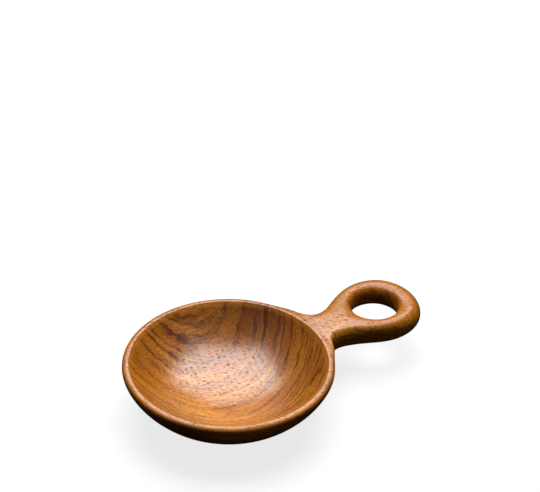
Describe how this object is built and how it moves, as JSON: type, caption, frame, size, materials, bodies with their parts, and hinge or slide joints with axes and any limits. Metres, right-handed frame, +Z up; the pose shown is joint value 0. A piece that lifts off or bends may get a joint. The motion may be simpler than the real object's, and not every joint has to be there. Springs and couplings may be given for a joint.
{
  "type": "oil dipping dish",
  "caption": "Small round wooden bowl with a flat rim, a short flush neck and a rounded ring handle, carved from one board, for dipping oil or condiments.",
  "frame": {"origin": "middle of the flat foot under the bowl, on the table, on the bowl's turning axis", "axes": "+X from the bowl's axis towards the ring handle, +Y across the handle, +Z up out of the bowl"},
  "size_m": [0.1816, 0.1148, 0.029],
  "materials": {
    "oiled_teak": "oiled to a soft gloss; warm orange-brown with fine dark lines and pores running along the handle"
  },
  "bodies": {
    "root": {"dish": "oiled_teak"}
  },
  "joints": []
}
